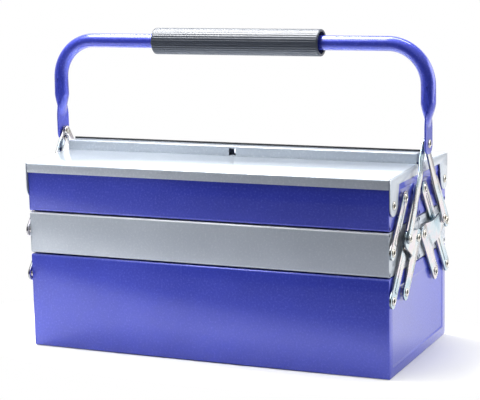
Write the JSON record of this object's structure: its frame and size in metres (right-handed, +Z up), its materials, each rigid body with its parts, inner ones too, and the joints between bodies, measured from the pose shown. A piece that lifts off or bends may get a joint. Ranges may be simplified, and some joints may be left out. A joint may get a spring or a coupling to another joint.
{
  "type": "cantilever tool box",
  "caption": "Sheet steel cantilever tool box: linked trays swing out in steps from a deep bottom box, under hinged lids and a tube handle whose tie bars work the trays.",
  "frame": {"origin": "centre of the bottom box's underside, on the surface that the box stands on", "axes": "+X along the length towards the right end, -Y towards the front, +Z up"},
  "size_m": [0.458, 0.208, 0.351],
  "materials": {
    "blue_paint": "violet-blue stoved enamel with a fine orange peel",
    "grey_paint": "silver-grey stoved enamel",
    "zinc_plate": "bright zinc plate with faint rainbow passivation",
    "grip_plastic": "soft slate-grey moulded sleeve, ribbed lengthwise",
    "black_edging": "matt black edging"
  },
  "bodies": {
    "bottom_box": {"bottom_box_shell": "blue_paint", "bottom_box_left_end": "blue_paint", "bottom_box_right_end": "blue_paint", "bottom_box_rivets": "zinc_plate"},
    "front_levers": {"front_left_lever": "zinc_plate", "front_right_lever": "zinc_plate"},
    "front_cranks": {"front_left_crank": "zinc_plate", "front_right_crank": "zinc_plate", "front_crank_rivets": "zinc_plate"},
    "front_middle_tray": {"front_middle_tray_shell": "grey_paint", "front_middle_tray_left_end": "grey_paint", "front_middle_tray_right_end": "grey_paint", "front_middle_rivets": "zinc_plate"},
    "front_top_tray": {"front_top_tray_shell": "blue_paint", "front_top_tray_left_end": "blue_paint", "front_top_tray_right_end": "blue_paint", "front_top_rivets": "zinc_plate"},
    "front_upper_links": {"front_left_upper_link": "zinc_plate", "front_right_upper_link": "zinc_plate"},
    "front_tie_bars": {"front_left_tie_bar": "zinc_plate", "front_right_tie_bar": "zinc_plate"},
    "front_lid": {"front_lid": "grey_paint"},
    "rear_levers": {"rear_left_lever": "zinc_plate", "rear_right_lever": "zinc_plate"},
    "rear_cranks": {"rear_left_crank": "zinc_plate", "rear_right_crank": "zinc_plate", "rear_crank_rivets": "zinc_plate"},
    "rear_middle_tray": {"rear_middle_tray_shell": "grey_paint", "rear_middle_tray_left_end": "grey_paint", "rear_middle_tray_right_end": "grey_paint", "rear_middle_rivets": "zinc_plate"},
    "rear_top_tray": {"rear_top_tray_shell": "blue_paint", "rear_top_tray_left_end": "blue_paint", "rear_top_tray_right_end": "blue_paint", "rear_top_rivets": "zinc_plate"},
    "rear_upper_links": {"rear_left_upper_link": "zinc_plate", "rear_right_upper_link": "zinc_plate"},
    "rear_tie_bars": {"rear_left_tie_bar": "zinc_plate", "rear_right_tie_bar": "zinc_plate"},
    "rear_lid": {"rear_lid": "grey_paint", "lid_edge_strip": "black_edging"},
    "handle": {"handle_tube": "blue_paint", "handle_grip": "grip_plastic", "handle_rivets": "zinc_plate"}
  },
  "joints": [
    {"name": "front_lever_swing", "type": "hinge", "parent": "bottom_box", "child": "front_levers", "pos_m": [0, -0.096, 0.0825], "axis": [1, 0, 0], "range_deg": [0, 58]},
    {"name": "rear_lever_swing", "type": "hinge", "parent": "bottom_box", "child": "rear_levers", "pos_m": [0, 0.096, 0.0825], "axis": [-1, 0, 0], "range_deg": [0, 58.01]},
    {"name": "front_crank_swing", "type": "hinge", "parent": "bottom_box", "child": "front_cranks", "pos_m": [0, -0.053, 0.0825], "axis": [1, 0, 0], "range_deg": [0, 58.01]},
    {"name": "front_middle_tray_level", "type": "hinge", "parent": "front_levers", "child": "front_middle_tray", "pos_m": [0, -0.054, 0.1325], "axis": [-1, 0, 0], "range_deg": [0, 58.01]},
    {"name": "front_top_tray_level", "type": "hinge", "parent": "front_levers", "child": "front_top_tray", "pos_m": [0, -0.012, 0.1825], "axis": [-1, 0, 0], "range_deg": [0, 58.01]},
    {"name": "front_upper_link_swing", "type": "hinge", "parent": "front_middle_tray", "child": "front_upper_links", "pos_m": [0, -0.096, 0.1325], "axis": [1, 0, 0], "range_deg": [0, 58.01]},
    {"name": "front_tie_bar_swing", "type": "hinge", "parent": "front_cranks", "child": "front_tie_bars", "pos_m": [0, -0.0624, 0.1415], "axis": [-1, 0, 0], "range_deg": [0, 102.72]},
    {"name": "front_lid_hinge", "type": "hinge", "parent": "front_top_tray", "child": "front_lid", "pos_m": [0, -0.0902, 0.1803], "axis": [1, 0, 0], "range_deg": [0, 115]},
    {"name": "rear_crank_swing", "type": "hinge", "parent": "bottom_box", "child": "rear_cranks", "pos_m": [0, 0.053, 0.0825], "axis": [-1, 0, 0], "range_deg": [0, 58.01]},
    {"name": "rear_middle_tray_level", "type": "hinge", "parent": "rear_levers", "child": "rear_middle_tray", "pos_m": [0, 0.054, 0.1325], "axis": [1, 0, 0], "range_deg": [0, 58.01]},
    {"name": "rear_top_tray_level", "type": "hinge", "parent": "rear_levers", "child": "rear_top_tray", "pos_m": [0, 0.012, 0.1825], "axis": [1, 0, 0], "range_deg": [0, 58.01]},
    {"name": "rear_upper_link_swing", "type": "hinge", "parent": "rear_middle_tray", "child": "rear_upper_links", "pos_m": [0, 0.096, 0.1325], "axis": [-1, 0, 0], "range_deg": [0, 58.01]},
    {"name": "rear_tie_bar_swing", "type": "hinge", "parent": "rear_cranks", "child": "rear_tie_bars", "pos_m": [0, 0.0624, 0.1415], "axis": [1, 0, 0], "range_deg": [0, 102.72]},
    {"name": "rear_lid_hinge", "type": "hinge", "parent": "rear_top_tray", "child": "rear_lid", "pos_m": [0, 0.0902, 0.1803], "axis": [-1, 0, 0], "range_deg": [0, 115]},
    {"name": "handle_swing", "type": "hinge", "parent": "rear_tie_bars", "child": "handle", "pos_m": [0, 0, 0.232], "axis": [1, 0, 0], "range_deg": [-90, 10]}
  ],
  "couplings": [
    {"joint": "rear_lever_swing", "follows": "front_lever_swing", "ratio": 1},
    {"joint": "front_crank_swing", "follows": "front_lever_swing", "ratio": 1},
    {"joint": "front_middle_tray_level", "follows": "front_lever_swing", "ratio": 1},
    {"joint": "front_top_tray_level", "follows": "front_lever_swing", "ratio": 1},
    {"joint": "front_upper_link_swing", "follows": "front_lever_swing", "ratio": 1},
    {"joint": "front_tie_bar_swing", "follows": "front_lever_swing", "ratio": 1.7709},
    {"joint": "rear_crank_swing", "follows": "front_lever_swing", "ratio": 1},
    {"joint": "rear_middle_tray_level", "follows": "front_lever_swing", "ratio": 1},
    {"joint": "rear_top_tray_level", "follows": "front_lever_swing", "ratio": 1},
    {"joint": "rear_upper_link_swing", "follows": "front_lever_swing", "ratio": 1},
    {"joint": "rear_tie_bar_swing", "follows": "front_lever_swing", "ratio": 1.7709}
  ]
}
